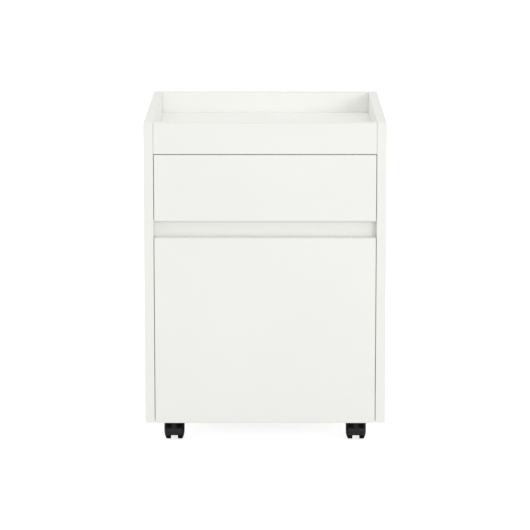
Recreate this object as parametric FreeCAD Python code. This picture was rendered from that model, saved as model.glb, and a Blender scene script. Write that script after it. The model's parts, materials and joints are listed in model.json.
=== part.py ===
import FreeCAD, Part
import math
import os

# Rolling pedestal cabinet: a laminated carcass with a tray top, two drawers on ball-bearing
# slides with a grip recess between their fronts, and four twin-wheel casters.
# Millimetres, +Z up, the front faces -Y, "left" is -X. Origin: centre of the footprint, on the floor.

# Overall size
WIDTH = 400.0
DEPTH = 450.0
HEIGHT = 550.0

# Boards
BOARD = 16.0              # carcass boards and drawer fronts
TRAY_BOARD = 15.0         # floor of the top tray
EDGE_ROUND = 0.6          # rounded edge banding
RAIL_END_GAP = 0.25       # the front rail's ends stand this clear of the side panels

# Front layout, measured down from the top
RAIL_HEIGHT = 51.5
FRONT_GAP = 1.2           # between the rail and the upper drawer front
SIDE_GAP = 1.0            # beside each drawer front
UPPER_FRONT_HEIGHT = 110.3
RECESS_HEIGHT = 28.0      # opening between the two drawer fronts
RECESS_DEPTH = 18.0       # from the front plane to the grip rail
PANEL_BOTTOM = 46.0       # height of the lowest edge of the sides, the back and the lower front
BASE = 50.0               # underside of the bottom board, on the caster plates
BASE_FRONT_GAP = 2.0      # between the lower drawer front and the bottom board

# Grip rail behind the recess
GRIP_RAIL_BOTTOM = 344.0
GRIP_RAIL_TOP = 402.0

# Drawer boxes
BOX_DEPTH = 400.0
BOX_WALL = 12.0
BOX_BOTTOM = 5.0
BOTTOM_RISE = 10.0        # from a box's lower edge to its bottom
HOUSING = 4.0             # how far the front and back walls are let into the sides
GROOVE = 5.0              # how far the bottom is let into the walls
BACK_WALL_INSET = 4.0
UPPER_BOX = (405.0, 485.0)
LOWER_BOX = (78.0, 338.0)

# Three-section slides, measured from the cabinet wall towards the drawer
SLIDE_THICK = 12.7
SLIDE_LENGTH = 400.0
SLIDE_FRONT_INSET = 3.0   # behind the drawer front's inner face
SHEET = 1.2
OUTER_HALF = 22.5
MIDDLE_HALF = 17.4
INNER_HALF = 12.3
MIDDLE_WEB = 2.6
OUTER_LIP = 9.5
MIDDLE_LIP = 11.5
INNER_LIP = 5.5
OUTER_SCREW_Y = (-190.0, 90.0, 180.0)
RUNNER_SCREW_Y = (-180.0, -20.0, 150.0)
SLIDE_SCREW_R = 1.75
UPPER_SLIDE_Z = 445.0
LOWER_SLIDE_Z = 190.0
BALL_R = 1.65
CAGE_SHEET = 0.6
CAGE_LENGTH = 110.0
CAGE_Y = -7.0             # middle of the closed cages
BALLS_PER_ROW = 6
BALL_PITCH = 18.0
OUTER_CAGE = (1.6, 9.0, 6.0)     # its web, its lips and its balls
INNER_CAGE = (4.2, 11.2, 8.5)

# Fasteners
FIT = 0.05                # radial clearance of a pin or screw in its hole
DOWEL_R = 4.0
DOWEL_IN_FACE = 12.0
DOWEL_IN_EDGE = 18.0
CAM_R = 7.5
CAM_DEPTH = 12.5
CAM_SETBACK = 24.0        # from the board's end to the cam's centre
BOLT_THREAD_R = 2.5
BOLT_THREAD = 10.8
BOLT_SHANK_R = 3.4
BOLT_BORE_R = 4.0
FRONT_SCREW_R = 2.0
FRONT_SCREW_BITE = 12.4   # depth of its hole in the drawer front
FRONT_SCREW_X = 110.0
UPPER_SCREW_HEIGHTS = (428.0, 468.0)
LOWER_SCREW_HEIGHTS = (120.0, 300.0)

# Where the carcass joints sit along each board
TRAY_DOWEL_Y = (-60.0, 60.0)
TRAY_CAM_Y = (-140.0, 140.0)
BASE_DOWEL_Y = (-195.0, 0.0, 190.0)
BASE_CAM_Y = (-100.0, 110.0)
BACK_DOWEL_Z = (90.0, 280.0, 470.0)
BACK_CAM_Z = (130.0, 430.0)
RAIL_DOWEL_Z = (512.0, 537.0)
GRIP_DOWEL_RISE = (-18.0, 18.0)
CROSS_DOWEL_X = 50.0      # tray board to the front rail and the back
CROSS_CAM_X = 110.0
BASE_BACK_DOWEL_X = 110.0

# Casters
WHEEL_R = 20.0
PIVOT_X = 154.0
PIVOT_INSET = 65.0        # from the front and the back plane to the swivel axes
TRAIL = 17.0              # the axle stands this far behind the swivel axis
PLATE = 38.0
PLATE_THICK = 2.0
PLATE_HOLES = 28.0        # spacing of the four screws
HOOD_IN_R = 21.5
HOOD_OUT_R = 23.5
HOOD_HALF = 14.0
HOOD_CHAMFER = 0.5
HOOD_FROM = 30.0          # arc of the hood about the axle, degrees from the rear towards the top
HOOD_TO = 205.0
WEB_HALF = 5.5            # half width of the web between the two wheels
HUB_R = 7.0
NECK_R = 5.5
NECK_BOTTOM = 22.0
NECK_TOP = 47.2
COLLAR_R = 8.0
COLLAR = 2.6
POCKET = (25.6, 4.0, 4.6)        # for the king pin's head: bottom, radius, height
AXLE_R = 2.5
AXLE_HALF = 14.9
PIN_R = 3.0
PIN_BOTTOM = 29.0
PIN_HEAD = (26.2, 3.7, 3.5)      # bottom, radius, height
PIN_SHOULDER_R = 5.0
PIN_SHOULDER = 0.5
HUB_FACE = 5.8            # inner face of a wheel's hub, from the middle of the caster

# Worked out from the above
INNER_X = WIDTH / 2 - BOARD
FRONT_Y = -DEPTH / 2
BACK_Y = DEPTH / 2
BEHIND_FRONTS = FRONT_Y + BOARD
BACK_FACE = BACK_Y - BOARD
RAIL_BOTTOM = HEIGHT - RAIL_HEIGHT
UPPER_FRONT_TOP = RAIL_BOTTOM - FRONT_GAP
UPPER_FRONT_BOTTOM = UPPER_FRONT_TOP - UPPER_FRONT_HEIGHT
LOWER_FRONT_TOP = UPPER_FRONT_BOTTOM - RECESS_HEIGHT
GRIP_RAIL_Y = FRONT_Y + RECESS_DEPTH
FRONT_HALF = INNER_X - SIDE_GAP
BOX_HALF = INNER_X - SLIDE_THICK
BOX_INNER = BOX_HALF - BOX_WALL
BOX_BACK = BEHIND_FRONTS + BOX_DEPTH
SLIDE_Y0 = BEHIND_FRONTS + SLIDE_FRONT_INSET
SLIDE_Y1 = SLIDE_Y0 + SLIDE_LENGTH
PLATE_BOTTOM = BASE - PLATE_THICK
SIDES = (("left", -1), ("right", 1))

os.makedirs("parts", exist_ok=True)
boards = {}               # node name: blank board
holes = {}                # node name: cutting tools for that board


def vec(x, y, z):
    return FreeCAD.Vector(x, y, z)


UP = vec(0, 0, 1)


def box(x0, x1, y0, y1, z0, z1):
    x0, x1 = min(x0, x1), max(x0, x1)
    return Part.makeBox(x1 - x0, y1 - y0, z1 - z0, vec(x0, y0, z0))


def rounded_box(x0, x1, y0, y1, z0, z1, radius=EDGE_ROUND):
    blank = box(x0, x1, y0, y1, z0, z1)
    return blank.makeFillet(radius, blank.Edges)


def rod(point, direction, radius, length):
    return Part.makeCylinder(radius, length, point, direction)


def place(shape, point, direction):
    """A copy of a shape made along +Z, moved to a point and turned to a direction."""
    moved = shape.copy()
    moved.Placement = FreeCAD.Placement(point, FreeCAD.Rotation(UP, direction))
    return moved


def fuse(solids):
    return solids[0].multiFuse(solids[1:]).removeSplitter()


def edges_along(shape, axis, accept):
    """The straight edges along one axis (0, 1 or 2) whose middle point is accepted."""
    found = []
    for edge in shape.Edges:
        run = edge.Vertexes[-1].Point - edge.Vertexes[0].Point
        if abs(run[axis]) > 0.99 * edge.Length and accept(edge.CenterOfMass):
            found.append(edge)
    return found


def export(node, solids):
    shape = solids[0] if len(solids) == 1 else Part.makeCompound(solids)
    for solid in shape.Solids:
        if not solid.isValid() or not solid.isClosed():
            raise ValueError("bad solid in " + node)
    if len(shape.Solids) != len(solids):
        raise ValueError("solids of %s fell apart or joined" % node)
    shape.exportStep("parts/%s.step" % node)
    print("%-36s %3d solids %12.1f mm3" % (node, len(solids), shape.Volume))


# Boards and the holes in them

def add_board(node, x0, x1, y0, y1, z0, z1):
    boards[node] = rounded_box(x0, x1, y0, y1, z0, z1)
    holes[node] = []


def drill(node, point, direction, radius, depth):
    """A blind hole; the tool starts 1 mm outside the face so that the mouth is cut cleanly."""
    holes[node].append(rod(point - direction, direction, radius, depth + 1.0))


def export_boards():
    for node, blank in boards.items():
        export(node, [blank.cut(holes[node]) if holes[node] else blank])


# Fasteners, each made along +Z with its seat at the origin

def cross_recess(radius, top, depth):
    arm = 0.22 * radius
    reach = 0.62 * radius
    return [box(-reach, reach, -arm, arm, top - depth, top + 1.0),
            box(-arm, arm, -reach, reach, top - depth, top + 1.0)]


def make_screw(radius, length, head_r, head_h):
    """A pan-head screw: the head stands above the seat and the shank points down to a cone."""
    point = radius * 1.6
    head = rod(vec(0, 0, 0), UP, head_r, head_h)
    rim = [e for e in head.Edges if e.CenterOfMass.z > head_h / 2 and len(e.Vertexes) == 1]
    head = head.makeFillet(head_h * 0.45, rim)
    shank = rod(vec(0, 0, point - length), UP, radius, length - point)
    tip = Part.makeCone(0.25, radius, point, vec(0, 0, -length))
    return fuse([head, shank, tip]).cut(cross_recess(head_r, head_h, head_h * 0.6))


def make_dowel():
    whole = rod(vec(0, 0, -DOWEL_IN_FACE), UP, DOWEL_R, DOWEL_IN_FACE + DOWEL_IN_EDGE)
    rims = [e for e in whole.Edges if len(e.Vertexes) == 1]
    return whole.makeChamfer(1.0, rims)


def make_cam_bolt():
    neck = CAM_SETBACK - 3.0
    return fuse([rod(vec(0, 0, -BOLT_THREAD), UP, BOLT_THREAD_R, BOLT_THREAD),
                 rod(vec(0, 0, 0), UP, BOLT_SHANK_R, neck),
                 rod(vec(0, 0, neck), UP, 2.0, 2.5),
                 rod(vec(0, 0, neck + 2.5), UP, 3.2, 2.5)])


def make_cam(half_board):
    """A cam lock with its visible face up at z = 0, bored for a bolt that comes along +X."""
    disc = rod(vec(0, 0, 0.2 - CAM_DEPTH), UP, CAM_R - 0.1, CAM_DEPTH - 0.4)
    passage = rod(vec(-CAM_R - 1.0, 0, -half_board), vec(1, 0, 0), BOLT_BORE_R, CAM_R + 5.0)
    return disc.cut([passage] + cross_recess(CAM_R, -0.2, 2.0))


DOWEL = make_dowel()
CAM_BOLT = make_cam_bolt()
CASTER_SCREW = make_screw(1.95, 16.0, 3.8, 2.0)
SLIDE_SCREW = make_screw(SLIDE_SCREW_R, 12.0, 3.4, 1.0)
RUNNER_SCREW = make_screw(SLIDE_SCREW_R, 10.0, 3.4, 1.4)
FRONT_SCREW = make_screw(FRONT_SCREW_R, 24.0, 4.0, 2.2)

dowels = []
cam_locks = []
cam_bolts = []
slide_screws = []


def dowel_joint(face_board, edge_board, point, inward):
    """A dowel across the joint at point; inward leads into the board that meets it with its edge."""
    drill(face_board, point, -inward, DOWEL_R + FIT, DOWEL_IN_FACE + 0.4)
    drill(edge_board, point, inward, DOWEL_R + FIT, DOWEL_IN_EDGE + 0.4)
    dowels.append(place(DOWEL, point, inward))


def cam_joint(face_board, edge_board, point, inward, open_side, half_board):
    """A bolt in the face board pulled up by a cam let into the edge board from its open side."""
    centre = point + inward * CAM_SETBACK
    mouth = centre + open_side * half_board
    drill(face_board, point, -inward, BOLT_THREAD_R + FIT, BOLT_THREAD + 0.4)
    drill(edge_board, point, inward, BOLT_BORE_R, CAM_SETBACK)
    drill(edge_board, mouth, -open_side, CAM_R, CAM_DEPTH)
    cam_bolts.append(place(CAM_BOLT, point, inward))
    cam = make_cam(half_board)
    turn = FreeCAD.Rotation(inward, open_side.cross(inward), open_side, "XZY")
    cam.Placement = FreeCAD.Placement(mouth, turn)
    cam_locks.append(cam)


# Carcass

def carcass_boards():
    for name, side in SIDES:
        add_board("side_panel_" + name, side * INNER_X, side * WIDTH / 2,
                  FRONT_Y, BACK_Y, PANEL_BOTTOM, HEIGHT)
    add_board("back_panel", -INNER_X, INNER_X, BACK_FACE, BACK_Y, PANEL_BOTTOM, HEIGHT)
    add_board("tray_panel", -INNER_X, INNER_X, BEHIND_FRONTS, BACK_FACE,
              RAIL_BOTTOM, RAIL_BOTTOM + TRAY_BOARD)
    add_board("bottom_panel", -INNER_X, INNER_X, BEHIND_FRONTS + BASE_FRONT_GAP, BACK_FACE,
              BASE, BASE + BOARD)
    rail_half = INNER_X - RAIL_END_GAP
    add_board("front_rail", -rail_half, rail_half, FRONT_Y, BEHIND_FRONTS, RAIL_BOTTOM, HEIGHT)
    add_board("grip_rail", -INNER_X, INNER_X, GRIP_RAIL_Y, GRIP_RAIL_Y + BOARD,
              GRIP_RAIL_BOTTOM, GRIP_RAIL_TOP)


def join_to_sides():
    """Dowels and cam fittings between the cross boards and the two side panels."""
    tray_z = RAIL_BOTTOM + TRAY_BOARD / 2
    base_z = BASE + BOARD / 2
    back_y = BACK_FACE + BOARD / 2
    grip_y = GRIP_RAIL_Y + BOARD / 2
    grip_z = (GRIP_RAIL_BOTTOM + GRIP_RAIL_TOP) / 2
    down = -UP
    dowel_places = {
        "tray_panel": [(y, tray_z) for y in TRAY_DOWEL_Y],
        "bottom_panel": [(y, base_z) for y in BASE_DOWEL_Y],
        "back_panel": [(back_y, z) for z in BACK_DOWEL_Z],
        "front_rail": [(FRONT_Y + BOARD / 2, z) for z in RAIL_DOWEL_Z],
        "grip_rail": [(grip_y, grip_z + dz) for dz in GRIP_DOWEL_RISE],
    }
    cam_places = {
        "tray_panel": [(y, tray_z, down, TRAY_BOARD / 2) for y in TRAY_CAM_Y],
        "bottom_panel": [(y, base_z, down, BOARD / 2) for y in BASE_CAM_Y],
        "back_panel": [(back_y, z, vec(0, -1, 0), BOARD / 2) for z in BACK_CAM_Z],
        "grip_rail": [(grip_y, grip_z, vec(0, 1, 0), BOARD / 2)],
    }
    for name, side in SIDES:
        panel = "side_panel_" + name
        inward = vec(-side, 0, 0)
        for node, spots in dowel_places.items():
            for y, z in spots:
                dowel_joint(panel, node, vec(side * INNER_X, y, z), inward)
        for node, spots in cam_places.items():
            for y, z, open_side, half_board in spots:
                cam_joint(panel, node, vec(side * INNER_X, y, z), inward, open_side, half_board)


def join_front_and_back():
    """The tray board pulls up the front rail and the back; the bottom board is dowelled to the back."""
    tray_z = RAIL_BOTTOM + TRAY_BOARD / 2
    for side in (-1, 1):
        for face_board, y, inward in (("front_rail", BEHIND_FRONTS, vec(0, 1, 0)),
                                      ("back_panel", BACK_FACE, vec(0, -1, 0))):
            dowel_joint(face_board, "tray_panel", vec(side * CROSS_DOWEL_X, y, tray_z), inward)
            cam_joint(face_board, "tray_panel", vec(side * CROSS_CAM_X, y, tray_z), inward,
                      -UP, TRAY_BOARD / 2)
        dowel_joint("back_panel", "bottom_panel",
                    vec(side * BASE_BACK_DOWEL_X, BACK_FACE, BASE + BOARD / 2), vec(0, -1, 0))


# Drawer slides; u is the distance from the cabinet wall

def channel(side, web_u, lip_u, half, sheet, y0, y1, z):
    """A C-section with its web at web_u and its flanges reaching to lip_u."""
    toward = 1.0 if lip_u > web_u else -1.0
    web_x = side * (INNER_X - web_u)
    lip_x = side * (INNER_X - lip_u)
    in_x = side * (INNER_X - web_u - toward * sheet)
    past_x = side * (INNER_X - lip_u - toward)
    skin = box(web_x, lip_x, y0, y1, z - half, z + half)
    core = box(in_x, past_x, y0 - 1.0, y1 + 1.0, z - half + sheet, z + half - sheet)
    bends = edges_along(skin, 1, lambda p: abs(p.x - web_x) < 0.01)
    inner_bends = edges_along(core, 1, lambda p: abs(p.x - in_x) < 0.01)
    return skin.makeFillet(2.0 * sheet, bends).cut(core.makeFillet(sheet, inner_bends))


def screw_row(member, screw, side, seat_u, head_toward_drawer, spots, z, bored_node, radius):
    """Screws through a member's web at the given y values; returns the bored member and the screws."""
    head = -side if head_toward_drawer else side
    head_dir = vec(head, 0, 0)
    tools = []
    screws = []
    for y in spots:
        seat = vec(side * (INNER_X - seat_u), y, z)
        tools.append(rod(seat + head_dir, -head_dir, radius + 0.25, SHEET + 1.5))
        screws.append(place(screw, seat, head_dir))
        length = -screw.BoundBox.ZMin
        drill(bored_node, seat - head_dir * SHEET, -head_dir, radius + FIT, length - SHEET + 0.4)
    return member.cut(tools), screws


def ball_cage(side, places, row, z):
    """A C-section cage between two members, and the balls in its two rows of holes."""
    web_u, lip_u, ball_u = places
    y0 = CAGE_Y - CAGE_LENGTH / 2
    cage = channel(side, web_u, lip_u, row + CAGE_SHEET / 2, CAGE_SHEET, y0, y0 + CAGE_LENGTH, z)
    first = CAGE_Y - BALL_PITCH * (BALLS_PER_ROW - 1) / 2
    balls = []
    tools = []
    for i in range(BALLS_PER_ROW):
        for level in (-row, row):
            centre = vec(side * (INNER_X - ball_u), first + i * BALL_PITCH, z + level)
            balls.append(Part.makeSphere(BALL_R, centre))
            tools.append(rod(centre - UP, UP, BALL_R + 0.1, 2.0))
    return [cage.cut(tools)] + balls


def slide_pair(drawer, z):
    """Both slides of one drawer: fixed outer, middle and inner members, and their ball cages."""
    outer_cages = []
    inner_cages = []
    screws = []
    outer_row = (OUTER_HALF - SHEET + MIDDLE_HALF) / 2
    inner_row = (MIDDLE_HALF - SHEET + INNER_HALF) / 2
    for name, side in SIDES:
        outer = channel(side, 0.0, OUTER_LIP, OUTER_HALF, SHEET, SLIDE_Y0, SLIDE_Y1, z)
        outer, fixed = screw_row(outer, SLIDE_SCREW, side, SHEET, True, OUTER_SCREW_Y, z,
                                 "side_panel_" + name, SLIDE_SCREW_R)
        slide_screws.extend(fixed)
        middle = channel(side, MIDDLE_WEB, MIDDLE_LIP, MIDDLE_HALF, SHEET, SLIDE_Y0, SLIDE_Y1, z)
        inner = channel(side, SLIDE_THICK, INNER_LIP, INNER_HALF, SHEET, SLIDE_Y0, SLIDE_Y1, z)
        inner, runner = screw_row(inner, RUNNER_SCREW, side, SLIDE_THICK - SHEET, False,
                                  RUNNER_SCREW_Y, z, "%s_drawer_side_%s" % (drawer, name),
                                  SLIDE_SCREW_R)
        screws.extend(runner)
        export("%s_slide_outer_%s" % (drawer, name), [outer])
        export("%s_slide_middle_%s" % (drawer, name), [middle])
        export("%s_slide_inner_%s" % (drawer, name), [inner])
        outer_cages += ball_cage(side, OUTER_CAGE, outer_row, z)
        inner_cages += ball_cage(side, INNER_CAGE, inner_row, z)
    export(drawer + "_outer_ball_cages", outer_cages)
    export(drawer + "_inner_ball_cages", inner_cages)
    return screws


# Drawers

def drawer(name, front_span, box_span, slide_z, screw_heights):
    """A drawer front screwed to a box of two sides, two cross walls and a grooved-in bottom."""
    z0, z1 = box_span
    node = name + "_drawer_"
    add_board(node + "front", -FRONT_HALF, FRONT_HALF, FRONT_Y, BEHIND_FRONTS, *front_span)
    wall_half = BOX_INNER + HOUSING
    back_y1 = BOX_BACK - BACK_WALL_INSET
    walls = {node + "inner_front": (BEHIND_FRONTS, BEHIND_FRONTS + BOX_WALL),
             node + "back": (back_y1 - BOX_WALL, back_y1)}
    bottom_z = z0 + BOTTOM_RISE
    groove = (-BOX_INNER - GROOVE, BOX_INNER + GROOVE,
              BEHIND_FRONTS + BOX_WALL - GROOVE, back_y1 - BOX_WALL + GROOVE)
    channel_cut = box(groove[0] - 0.2, groove[1] + 0.2, groove[2] - 0.2, groove[3] + 0.2,
                      bottom_z, bottom_z + BOX_BOTTOM + 0.2)
    for wall, (y0, y1) in walls.items():
        boards[wall] = box(-wall_half, wall_half, y0, y1, z0, z1).cut(channel_cut)
        holes[wall] = []
    for which, side in SIDES:
        panel = node + "side_" + which
        add_board(panel, side * BOX_INNER, side * BOX_HALF, BEHIND_FRONTS, BOX_BACK, z0, z1)
        holes[panel].append(channel_cut)
        for y0, y1 in walls.values():
            holes[panel].append(box(-wall_half, wall_half, y0, y1, z0 - 1.0, z1 + 1.0))
    export(node + "bottom", [box(*groove, bottom_z, bottom_z + BOX_BOTTOM)])
    screws = slide_pair(name, slide_z)
    inside = BEHIND_FRONTS + BOX_WALL
    for x in (-FRONT_SCREW_X, FRONT_SCREW_X):
        for z in screw_heights:
            seat = vec(x, inside, z)
            screws.append(place(FRONT_SCREW, seat, vec(0, 1, 0)))
            drill(node + "inner_front", seat, vec(0, -1, 0), FRONT_SCREW_R + FIT, BOX_WALL + 1.0)
            drill(node + "front", vec(x, BEHIND_FRONTS, z), vec(0, -1, 0),
                  FRONT_SCREW_R + FIT, FRONT_SCREW_BITE)
    export(node + "screws", screws)


# Casters, made about a swivel axis through the origin with the axle behind it

AXIS_X = vec(1, 0, 0)


def about_axle(face, start, sweep):
    """Turns a face drawn at angle 0 (towards the rear) about the axle, and moves it to the axle."""
    solid = face.revolve(vec(0, 0, 0), AXIS_X, sweep)
    solid.rotate(vec(0, 0, 0), AXIS_X, start)
    solid.translate(vec(0, TRAIL, WHEEL_R))
    return solid


def outline(points):
    return Part.Face(Part.makePolygon([vec(x, r, 0) for x, r in points + points[:1]]))


def caster_housing():
    """Hood over both wheels, the web between them and the neck that turns on the king pin."""
    c = HOOD_CHAMFER
    hood_face = outline([(-HOOD_HALF + c, HOOD_IN_R), (HOOD_HALF - c, HOOD_IN_R),
                         (HOOD_HALF, HOOD_IN_R + c), (HOOD_HALF, HOOD_OUT_R - c),
                         (HOOD_HALF - c, HOOD_OUT_R), (-HOOD_HALF + c, HOOD_OUT_R),
                         (-HOOD_HALF, HOOD_OUT_R - c), (-HOOD_HALF, HOOD_IN_R + c)])
    sweep = HOOD_TO - HOOD_FROM
    hood = about_axle(hood_face, HOOD_FROM, sweep)
    web_r = HOOD_IN_R + 0.4
    web = about_axle(outline([(-WEB_HALF, 0.0), (WEB_HALF, 0.0), (WEB_HALF, web_r),
                              (-WEB_HALF, web_r)]), HOOD_FROM, sweep)
    axle_end = vec(-WEB_HALF, TRAIL, WHEEL_R)
    hub = rod(axle_end, AXIS_X, HUB_R, 2 * WEB_HALF)
    neck = rod(vec(0, 0, NECK_BOTTOM), UP, NECK_R, NECK_TOP - NECK_BOTTOM)
    collar = rod(vec(0, 0, NECK_TOP - COLLAR), UP, COLLAR_R, COLLAR)
    body = fuse([hood, web, hub, neck, collar])
    pocket_z, pocket_r, pocket_height = POCKET
    pocket = rod(vec(0, 0, pocket_z), UP, pocket_r, pocket_height)
    bore = rod(vec(0, 0, pocket_z + pocket_height - 0.2), UP, PIN_R + FIT, NECK_TOP)
    axle_bore = rod(axle_end - AXIS_X, AXIS_X, AXLE_R + 0.02, 2 * WEB_HALF + 2.0)
    return body.cut([bore, pocket, axle_bore])


def caster_wheel():
    """The right-hand wheel of a pair: tread, domed outer side, open back with six ribs, blind bore."""
    def at(x, r):
        return vec(x, r, 0)

    rim_in, web_x, hub_r, bore_end = 6.0, 12.4, 5.2, 15.2
    dome = Part.Arc(at(17.0, 6.0), at(16.2, 13.4), at(13.7, 19.2)).toShape()
    shoulder = Part.Arc(at(13.7, 19.2), at(13.3, 19.75), at(12.6, WHEEL_R)).toShape()
    rest = Part.makePolygon([at(12.6, WHEEL_R), at(6.6, WHEEL_R), at(rim_in, 19.4),
                             at(rim_in, 17.0), at(web_x, 17.0), at(web_x, hub_r), at(HUB_FACE, hub_r),
                             at(HUB_FACE, AXLE_R + FIT), at(bore_end, AXLE_R + FIT),
                             at(bore_end, 0.0), at(17.0, 0.0), at(17.0, 6.0)])
    wheel = Part.Face(Part.Wire([dome, shoulder] + rest.Edges)).revolve(vec(0, 0, 0), AXIS_X, 360)
    ribs = []
    for i in range(6):
        rib = box(7.0, web_x + 0.5, hub_r - 0.4, 17.4, -0.6, 0.6)
        rib.rotate(vec(0, 0, 0), AXIS_X, 60.0 * i)
        ribs.append(rib)
    ring = Part.Face(Part.makePolygon([at(16.5, 6.6), at(18.0, 6.6), at(18.0, 7.3), at(16.5, 7.3),
                                       at(16.5, 6.6)]))
    wheel = fuse([wheel] + ribs).cut(ring.revolve(vec(0, 0, 0), AXIS_X, 360))
    wheel.translate(vec(0, TRAIL, WHEEL_R))
    return wheel


def caster_plate():
    half = PLATE / 2
    plate = box(-half, half, -half, half, PLATE_BOTTOM, BASE)
    corners = edges_along(plate, 2, lambda p: True)
    plate = plate.makeFillet(5.0, corners)
    tools = [rod(vec(0, 0, PLATE_BOTTOM - 1.0), UP, PIN_R + 0.02, 5.0)]
    for x, y in screw_spots():
        tools.append(rod(vec(x, y, PLATE_BOTTOM - 1.0), UP, 2.25, 5.0))
    return plate.cut(tools)


def king_pin():
    """Riveted into the plate, with a shoulder below it and a head that carries the housing."""
    head_z, head_r, head_height = PIN_HEAD
    return fuse([rod(vec(0, 0, PIN_BOTTOM), UP, PIN_R, BASE - PIN_BOTTOM),
                 rod(vec(0, 0, PLATE_BOTTOM - PIN_SHOULDER), UP, PIN_SHOULDER_R, PIN_SHOULDER),
                 rod(vec(0, 0, head_z), UP, head_r, head_height)])


def screw_spots():
    reach = PLATE_HOLES / 2
    return [(x, y) for x in (-reach, reach) for y in (-reach, reach)]


def casters():
    axle = rod(vec(-AXLE_HALF, TRAIL, WHEEL_R), AXIS_X, AXLE_R, 2 * AXLE_HALF)
    right_wheel = caster_wheel()
    kinds = {"housing": caster_housing(), "axle": axle,
             "wheel_left": right_wheel.mirror(vec(0, 0, 0), AXIS_X), "wheel_right": right_wheel}
    fixed = {"caster_plates": [], "caster_king_pins": [], "caster_screws": []}
    for row, y in (("front", FRONT_Y + PIVOT_INSET), ("rear", BACK_Y - PIVOT_INSET)):
        for name, side in SIDES:
            pivot = vec(side * PIVOT_X, y, 0)
            for kind, shape in kinds.items():
                export("caster_%s_%s_%s" % (row, name, kind), [shape.translated(pivot)])
            fixed["caster_plates"].append(caster_plate().translated(pivot))
            fixed["caster_king_pins"].append(king_pin().translated(pivot))
            for dx, dy in screw_spots():
                seat = pivot + vec(dx, dy, PLATE_BOTTOM)
                fixed["caster_screws"].append(place(CASTER_SCREW, seat, -UP))
                drill("bottom_panel", pivot + vec(dx, dy, BASE), UP, 2.0, 14.4)
    for node, solids in fixed.items():
        export(node, solids)


carcass_boards()
join_to_sides()
join_front_and_back()
drawer("upper", (UPPER_FRONT_BOTTOM, UPPER_FRONT_TOP), UPPER_BOX, UPPER_SLIDE_Z,
       UPPER_SCREW_HEIGHTS)
drawer("lower", (PANEL_BOTTOM, LOWER_FRONT_TOP), LOWER_BOX, LOWER_SLIDE_Z,
       LOWER_SCREW_HEIGHTS)
casters()
export_boards()
export("dowels", dowels)
export("cam_locks", cam_locks)
export("cam_bolts", cam_bolts)
export("slide_screws", slide_screws)
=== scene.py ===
import json
import math

import bpy
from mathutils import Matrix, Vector


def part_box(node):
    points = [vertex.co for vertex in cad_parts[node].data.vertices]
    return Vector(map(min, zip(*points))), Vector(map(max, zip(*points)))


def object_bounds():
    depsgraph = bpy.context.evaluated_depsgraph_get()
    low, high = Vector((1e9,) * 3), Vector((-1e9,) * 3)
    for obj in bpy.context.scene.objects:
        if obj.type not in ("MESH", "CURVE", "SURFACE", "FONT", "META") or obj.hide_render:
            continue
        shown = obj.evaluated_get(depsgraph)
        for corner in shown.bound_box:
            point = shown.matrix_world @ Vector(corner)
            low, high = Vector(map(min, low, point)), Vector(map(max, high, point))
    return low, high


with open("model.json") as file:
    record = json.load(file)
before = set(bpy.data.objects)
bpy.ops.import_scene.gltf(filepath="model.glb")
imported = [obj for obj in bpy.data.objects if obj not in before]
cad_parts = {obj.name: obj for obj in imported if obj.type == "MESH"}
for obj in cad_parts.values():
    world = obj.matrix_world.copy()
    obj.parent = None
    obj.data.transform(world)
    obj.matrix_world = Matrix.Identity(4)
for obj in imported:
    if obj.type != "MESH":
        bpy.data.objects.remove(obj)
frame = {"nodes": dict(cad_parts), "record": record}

# Rolling pedestal cabinet: materials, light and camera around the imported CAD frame. Metres.
CAD_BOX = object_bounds()
NODES = frame["nodes"]
SLOT_OF = {part["node"]: part["material_slot"] for part in frame["record"]["subparts"]}
MM = 0.001
WHITE = (1.0, 1.0, 1.0)
BLACK = (0.0, 0.0, 0.0)

# Camera
CAMERA_AT = (0.0079, -4.829, 1.144)
CAMERA_PITCH = math.radians(10.22)
CAMERA_PAN = math.radians(-0.1)
LENS = 192.35
SENSOR_WIDTH = 36.0

# Light: an even surround, a little stronger from the front and from above, and a soft key from
# the front right
SURROUND_LIGHT = 0.755
FRONT_LIGHT = 0.05
TOP_LIGHT = 0.26
SURROUND_COLOUR = (1.0, 1.0, 0.985)
KEY_POWER = 32.0
KEY_COLOUR = (0.985, 0.99, 1.0)
KEY_SIZE = 0.8
KEY_FROM = Vector((0.42, -1.0, 0.26))
KEY_DISTANCE = 4.5

# Floor
FLOOR_SIZE = 60.0
FLOOR_TONES = (0.79, 0.81)
FLOOR_ROUGHNESS = 0.9
FLOOR_GLOW = 0.78

# Board colours
LAMINATE = (0.885, 0.888, 0.858)
LAMINATE_BAND = (0.878, 0.879, 0.846)
# Painted light: the boards behind the grip recess and in the tray take a lighter laminate that offsets
# the shade in those hollows.
LAMINATE_PAINTED_FILL = (0.920, 0.921, 0.895)
PAINTED_FILL_BOARDS = ("grip_rail", "tray_panel", "back_panel")
FOIL = (0.84, 0.84, 0.82)
FOIL_BAND = (0.81, 0.81, 0.79)
CHIPBOARD = (0.52, 0.38, 0.22)
FIBREBOARD = (0.40, 0.28, 0.17)

# Board build-up
BAND_THICKNESS = 1.0 * MM
FACE_SKIN = 0.25 * MM
SEAM_DARK_WITHIN = 0.05 * MM
SEAM_GONE_BEYOND = 0.16 * MM
CORE_FROM = 0.75 * MM
CORE_FULL = 0.95 * MM

# Caster plastics
NYLON_BLACK = (0.004, 0.004, 0.005)
# The hood's grey and the two heights below paint light and shade: grey low on the hood where light
# falls, black higher up in the shade under the cabinet.
HOUSING_LIT_GREY = (0.034, 0.034, 0.036)
WHEEL_WORN = (0.016, 0.016, 0.018)
DUST = (0.20, 0.19, 0.18)
PAINTED_LIT_BELOW = 21.5 * MM
PAINTED_SHADE_ABOVE = 23.5 * MM
NECK_HALF = 5.0 * MM
NECK_FADE = 2.0 * MM


# Node trees

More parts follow.
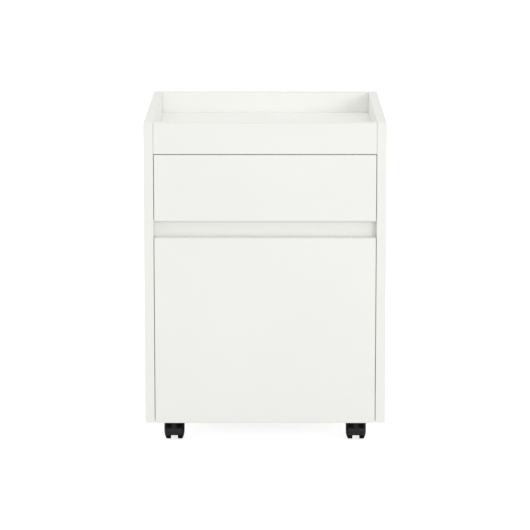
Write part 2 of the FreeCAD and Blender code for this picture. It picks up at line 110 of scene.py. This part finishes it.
class Tree:
    """A material's node tree with short ways to add and join nodes."""

    def __init__(self, name):
        self.material = bpy.data.materials.new(name)
        self.material.use_nodes = True
        self.nodes = self.material.node_tree.nodes
        self.links = self.material.node_tree.links
        self.nodes.clear()
        self.shader = self.nodes.new("ShaderNodeBsdfPrincipled")
        self.output = self.nodes.new("ShaderNodeOutputMaterial")
        self.links.new(self.shader.outputs[0], self.output.inputs["Surface"])
        self.place = self.nodes.new("ShaderNodeTexCoord").outputs["Object"]

    def feed(self, socket, value):
        """Link another node's output to the socket, or set a plain value on it."""
        if isinstance(value, bpy.types.NodeSocket):
            self.links.new(value, socket)
        else:
            socket.default_value = value

    def math(self, operation, a, b=0.0, clamp=False):
        made = self.nodes.new("ShaderNodeMath")
        made.operation = operation
        made.use_clamp = clamp
        self.feed(made.inputs[0], a)
        self.feed(made.inputs[1], b)
        return made.outputs[0]

    def vector(self, operation, a, b=(0.0, 0.0, 0.0)):
        made = self.nodes.new("ShaderNodeVectorMath")
        made.operation = operation
        self.feed(made.inputs[0], a)
        self.feed(made.inputs[1], b)
        return made.outputs[0]

    def split(self, vector):
        made = self.nodes.new("ShaderNodeSeparateXYZ")
        self.feed(made.inputs[0], vector)
        return made.outputs

    def noise(self, scale, detail=2.0, roughness=0.5, stretch=None):
        """Noise over the piece's own coordinates; a stretch below 1 draws it out along that axis."""
        made = self.nodes.new("ShaderNodeTexNoise")
        place = self.vector("MULTIPLY", self.place, stretch) if stretch else self.place
        self.feed(made.inputs["Vector"], place)
        made.inputs["Scale"].default_value = scale
        made.inputs["Detail"].default_value = detail
        made.inputs["Roughness"].default_value = roughness
        return made.outputs["Fac"]

    def ramp(self, value, low, high, start=0.35, end=0.65):
        """The value spread from low to high as it goes from start to end."""
        made = self.nodes.new("ShaderNodeMapRange")
        self.feed(made.inputs["Value"], value)
        made.inputs["From Min"].default_value = start
        made.inputs["From Max"].default_value = end
        made.inputs["To Min"].default_value = low
        made.inputs["To Max"].default_value = high
        return made.outputs["Result"]

    def mix(self, share, a, b):
        """Colour a where the share is 0 and colour b where it is 1."""
        made = self.nodes.new("ShaderNodeMix")
        made.data_type = "RGBA"
        self.feed(made.inputs["Factor"], share)
        self.feed(made.inputs[6], a if isinstance(a, bpy.types.NodeSocket) else (*a, 1.0))
        self.feed(made.inputs[7], b if isinstance(b, bpy.types.NodeSocket) else (*b, 1.0))
        return made.outputs[2]

    def bump(self, height, distance, strength, under=None):
        """A bumped normal, laid over the normal given as under."""
        made = self.nodes.new("ShaderNodeBump")
        made.inputs["Strength"].default_value = strength
        made.inputs["Distance"].default_value = distance
        self.feed(made.inputs["Height"], height)
        if under is not None:
            self.feed(made.inputs["Normal"], under)
        return made.outputs["Normal"]

    def finish(self, **values):
        """Feed the shader's inputs, named with _ for each space, and give back the material."""
        for name, value in values.items():
            self.feed(self.shader.inputs[name.replace("_", " ")], value)
        return self.material


def shade(colour, share):
    return [channel * share for channel in colour]


def paint(node, material):
    mesh = NODES[node].data
    mesh.materials.clear()
    mesh.materials.append(material)


def paint_slots(material_of):
    for node, slot in SLOT_OF.items():
        if slot in material_of:
            paint(node, material_of[slot])


# Boards: distances from a board's faces give its edge-band seams and the raw core in its bores

def face_distances(tree, lo, hi):
    """How far each point lies inside the board's box, along X, Y and Z."""
    middle = (lo + hi) / 2
    half = (hi - lo) / 2
    from_middle = tree.vector("ABSOLUTE", tree.vector("SUBTRACT", tree.place, middle))
    return tree.split(tree.vector("SUBTRACT", half, from_middle))


def board_material(node, face, band, core, roughness, grain, seam):
    """A faced board: fine pearl texture, a hairline seam beside each banded edge, raw core in bores."""
    tree = Tree("board_" + node)
    lo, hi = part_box(node)
    size = hi - lo
    thick = min(range(3), key=lambda axis: size[axis])
    across = [axis for axis in range(3) if axis != thick]
    inset = face_distances(tree, lo, hi)
    edge = tree.math("MINIMUM", inset[across[0]], inset[across[1]])
    depth = tree.math("MINIMUM", edge, inset[thick])
    on_face = tree.math("LESS_THAN", inset[thick], FACE_SKIN)
    in_band = tree.math("LESS_THAN", edge, BAND_THICKNESS)
    from_seam = tree.math("ABSOLUTE", tree.math("SUBTRACT", edge, BAND_THICKNESS))
    line = tree.ramp(from_seam, 1.0, 0.0, SEAM_DARK_WITHIN, SEAM_GONE_BEYOND)
    line = tree.math("MULTIPLY", line, on_face)
    inside = tree.ramp(depth, 0.0, 1.0, CORE_FROM, CORE_FULL)

    cloud = tree.noise(scale=5.0, detail=3.0)
    colour = tree.mix(tree.ramp(cloud, 0.0, 1.0), face, shade(face, 0.985))
    colour = tree.mix(in_band, colour, band)
    colour = tree.mix(tree.math("MULTIPLY", line, seam), colour, shade(band, 0.62))
    chips = tree.ramp(tree.noise(scale=420.0, detail=4.0, roughness=0.7), 0.0, 1.0, 0.3, 0.7)
    colour = tree.mix(inside, colour, tree.mix(chips, shade(core, 0.55), core))

    smudge = tree.noise(scale=14.0, detail=4.0, roughness=0.6)
    rough = tree.ramp(smudge, roughness - 0.05, roughness + 0.06)
    rough = tree.math("ADD", rough, tree.math("MULTIPLY", inside, 0.4), clamp=True)
    swell = tree.bump(tree.noise(scale=9.0, detail=1.0), 0.25 * MM, 0.25)
    pearl = tree.bump(tree.noise(scale=grain, detail=3.0, roughness=0.6), 0.05 * MM, 0.35, under=swell)
    groove = tree.bump(tree.math("SUBTRACT", 1.0, line), 0.05 * MM, 0.6, under=pearl)
    return tree.finish(Base_Color=colour, Roughness=rough, Normal=groove, Specular_IOR_Level=0.45)


def paint_boards():
    for node, slot in SLOT_OF.items():
        if slot == "white_laminate":
            # Boards in the recess and the tray get the lighter laminate, painted light against the
            # shade there.
            face = LAMINATE_PAINTED_FILL if node in PAINTED_FILL_BOARDS else LAMINATE
            material = board_material(node, face, LAMINATE_BAND, CHIPBOARD,
                                      roughness=0.47, grain=900.0, seam=0.55)
        elif slot == "drawer_foil":
            material = board_material(node, FOIL, FOIL_BAND, FIBREBOARD,
                                      roughness=0.36, grain=600.0, seam=0.2)
        elif slot == "drawer_bottom":
            material = board_material(node, FOIL, FIBREBOARD, FIBREBOARD,
                                      roughness=0.5, grain=350.0, seam=0.0)
        else:
            continue
        paint(node, material)


# Metals

def metal(name, colour, roughness, streaks, relief, stretch=(1.0, 1.0, 1.0), tarnish=0.80):
    """Plated or turned steel: drawn streaks, which also vary the gloss, and cloudy plating."""
    tree = Tree(name)
    drawn = tree.noise(scale=streaks, detail=4.0, roughness=0.6, stretch=stretch)
    cloud = tree.noise(scale=60.0, detail=3.0, roughness=0.6)
    tint = tree.mix(tree.ramp(cloud, 0.0, 1.0), colour, shade(colour, tarnish))
    rough = tree.ramp(drawn, roughness - 0.07, roughness + 0.10)
    normal = tree.bump(drawn, relief, 0.5)
    return tree.finish(Base_Color=tint, Metallic=1.0, Roughness=rough, Normal=normal)


def paint_metals():
    paint_slots({
        "slide_steel": metal("slide_steel", (0.66, 0.67, 0.68), roughness=0.30, streaks=900.0,
                             relief=0.03 * MM, stretch=(1.0, 0.02, 1.0), tarnish=0.90),
        "ball_steel": metal("ball_steel", (0.62, 0.63, 0.64), roughness=0.22, streaks=700.0,
                            relief=0.01 * MM),
        "screw_steel": metal("screw_steel", (0.64, 0.64, 0.62), roughness=0.28, streaks=1500.0,
                             relief=0.02 * MM),
        "cam_zinc": metal("cam_zinc", (0.42, 0.42, 0.43), roughness=0.45, streaks=800.0,
                          relief=0.06 * MM),
        "zinc_plate": metal("zinc_plate", (0.58, 0.59, 0.60), roughness=0.34, streaks=600.0,
                            relief=0.03 * MM),
        "axle_steel": metal("axle_steel", (0.60, 0.60, 0.60), roughness=0.24, streaks=1200.0,
                            relief=0.02 * MM, stretch=(0.05, 1.0, 1.0)),
    })


# Beech dowels

def beech():
    tree = Tree("beech")
    rings = tree.noise(scale=260.0, detail=5.0, roughness=0.6, stretch=(0.15, 1.0, 1.0))
    flecks = tree.noise(scale=1400.0, stretch=(0.1, 1.0, 1.0))
    colour = tree.mix(tree.ramp(rings, 0.0, 1.0), (0.60, 0.41, 0.24), (0.47, 0.29, 0.15))
    colour = tree.mix(tree.ramp(flecks, 0.0, 0.5, 0.6, 0.75), colour, (0.30, 0.17, 0.09))
    return tree.finish(Base_Color=colour, Roughness=tree.ramp(rings, 0.55, 0.7),
                       Normal=tree.bump(flecks, 0.05 * MM, 0.5))


# Caster plastics

def caster_plastic(tree, worn_and_lit_grey, share, roughness, grain):
    """Black nylon, greyed and given a soft sheen by the given share, which is wear on the wheels and
    painted light on the housing: moulded grain and a little grey dust.
    """
    patch = tree.noise(scale=90.0, detail=5.0, roughness=0.65)
    dust = tree.ramp(patch, 0.0, 0.06, 0.45, 0.8)
    # The share greys the nylon: real wear on the wheels, painted light on the housing.
    tint = tree.mix(dust, tree.mix(share, NYLON_BLACK, worn_and_lit_grey), DUST)
    rough = tree.ramp(patch, roughness - 0.06, roughness + 0.12)
    normal = tree.bump(tree.noise(scale=grain), 0.03 * MM, 0.4)
    shine = tree.ramp(share, 0.05, 0.22, 0.0, 1.0)
    return tree.finish(Base_Color=tint, Roughness=rough, Normal=normal, Specular_IOR_Level=shine)


def caster_housing():
    """Painted light and shade on the hood: grey low down and on its neck, where light falls, and black
    above and beside them, where the cabinet shades it; scuffs vary the grey.
    """
    tree = Tree("caster_housing")
    lo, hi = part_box("caster_front_right_housing")
    caster_x = (lo.x + hi.x) / 2
    x, _, z = tree.split(tree.place)
    # Painted light: grey low on the hood and on its neck; painted shade: black above and beside them.
    low = tree.ramp(z, 1.0, 0.0, PAINTED_LIT_BELOW, PAINTED_SHADE_ABOVE)
    from_neck = tree.math("ABSOLUTE", tree.math("SUBTRACT", tree.math("ABSOLUTE", x), caster_x))
    lit_neck = tree.ramp(from_neck, 0.7, 0.0, NECK_HALF - NECK_FADE, NECK_HALF)
    scuffs = tree.ramp(tree.noise(scale=300.0, detail=3.0, roughness=0.6), 0.65, 1.0)
    share = tree.math("MULTIPLY", tree.math("MAXIMUM", low, lit_neck), scuffs)
    return caster_plastic(tree, HOUSING_LIT_GREY, share, roughness=0.42, grain=2200.0)


def caster_wheel():
    tree = Tree("caster_wheel")
    share = tree.ramp(tree.noise(scale=220.0, detail=3.0, roughness=0.6), 0.1, 0.45)
    return caster_plastic(tree, WHEEL_WORN, share, roughness=0.34, grain=1500.0)


# Stage, light and camera

def make_floor():
    """A pale floor, clear from below, that the camera sees as white but for faint contact shadows."""
    bpy.ops.mesh.primitive_plane_add(size=FLOOR_SIZE)
    floor = bpy.context.object
    floor.name = "studio_floor"
    tree = Tree("studio_floor")
    colour = tree.mix(tree.ramp(tree.noise(scale=2.0), *FLOOR_TONES), BLACK, WHITE)
    seen = tree.nodes.new("ShaderNodeLightPath").outputs["Is Camera Ray"]
    glow = tree.math("MULTIPLY", seen, FLOOR_GLOW)
    floor.data.materials.append(tree.finish(Base_Color=colour, Roughness=FLOOR_ROUGHNESS,
                                            Specular_IOR_Level=0.0,
                                            Emission_Color=(*WHITE, 1.0), Emission_Strength=glow))
    from_below = tree.nodes.new("ShaderNodeNewGeometry").outputs["Backfacing"]
    clear = tree.nodes.new("ShaderNodeBsdfTransparent")
    pick = tree.nodes.new("ShaderNodeMixShader")
    tree.links.new(from_below, pick.inputs["Fac"])
    tree.links.new(tree.shader.outputs[0], pick.inputs[1])
    tree.links.new(clear.outputs[0], pick.inputs[2])
    tree.links.new(pick.outputs[0], tree.output.inputs["Surface"])


def make_surround():
    """Light from all round that grows to the front and upward; the camera sees it as plain white."""
    world = bpy.data.worlds.new("studio")
    bpy.context.scene.world = world
    world.use_nodes = True
    nodes = world.node_tree.nodes
    links = world.node_tree.links
    direction = nodes.new("ShaderNodeSeparateXYZ")
    links.new(nodes.new("ShaderNodeTexCoord").outputs["Generated"], direction.inputs[0])

    forward = nodes.new("ShaderNodeMapRange")
    forward.interpolation_type = "SMOOTHSTEP"
    forward.inputs["From Min"].default_value = 0.0
    forward.inputs["From Max"].default_value = -1.0
    forward.inputs["To Min"].default_value = SURROUND_LIGHT
    forward.inputs["To Max"].default_value = SURROUND_LIGHT + FRONT_LIGHT
    links.new(direction.outputs["Y"], forward.inputs["Value"])
    upward = nodes.new("ShaderNodeMapRange")
    upward.inputs["To Min"].default_value = 0.0
    upward.inputs["To Max"].default_value = TOP_LIGHT
    links.new(direction.outputs["Z"], upward.inputs["Value"])
    total = nodes.new("ShaderNodeMath")
    total.operation = "ADD"
    links.new(forward.outputs["Result"], total.inputs[0])
    links.new(upward.outputs["Result"], total.inputs[1])

    light = nodes["Background"]
    light.inputs["Color"].default_value = (*SURROUND_COLOUR, 1.0)
    links.new(total.outputs[0], light.inputs["Strength"])
    backdrop = nodes.new("ShaderNodeBackground")
    backdrop.inputs["Color"].default_value = (*WHITE, 1.0)
    backdrop.inputs["Strength"].default_value = 1.0
    pick = nodes.new("ShaderNodeMixShader")
    links.new(nodes.new("ShaderNodeLightPath").outputs["Is Camera Ray"], pick.inputs["Fac"])
    links.new(light.outputs[0], pick.inputs[1])
    links.new(backdrop.outputs[0], pick.inputs[2])
    links.new(pick.outputs[0], nodes["World Output"].inputs["Surface"])


def make_key():
    data = bpy.data.lights.new("key", "AREA")
    data.energy = KEY_POWER
    data.size = KEY_SIZE
    data.color = KEY_COLOUR
    key = bpy.data.objects.new("key", data)
    centre = (CAD_BOX[0] + CAD_BOX[1]) / 2
    key.location = centre + KEY_FROM.normalized() * KEY_DISTANCE
    key.rotation_mode = "QUATERNION"
    key.rotation_quaternion = (centre - key.location).to_track_quat("-Z", "Y")
    bpy.context.scene.collection.objects.link(key)


def make_camera():
    data = bpy.data.cameras.new("camera")
    data.sensor_width = SENSOR_WIDTH
    data.lens = LENS
    data.clip_start = 0.05
    data.clip_end = 100.0
    camera = bpy.data.objects.new("camera", data)
    camera.location = CAMERA_AT
    camera.rotation_euler = (math.pi / 2 - CAMERA_PITCH, 0.0, -CAMERA_PAN)
    bpy.context.scene.collection.objects.link(camera)
    bpy.context.scene.camera = camera


def make_view():
    settings = bpy.context.scene.view_settings
    settings.view_transform = "Standard"
    settings.look = "None"
    settings.exposure = 0.0
    settings.gamma = 1.0


paint_boards()
paint_metals()
paint_slots({"caster_housing": caster_housing(), "caster_wheel": caster_wheel(), "beech": beech()})
make_floor()
make_surround()
make_key()
make_camera()
make_view()
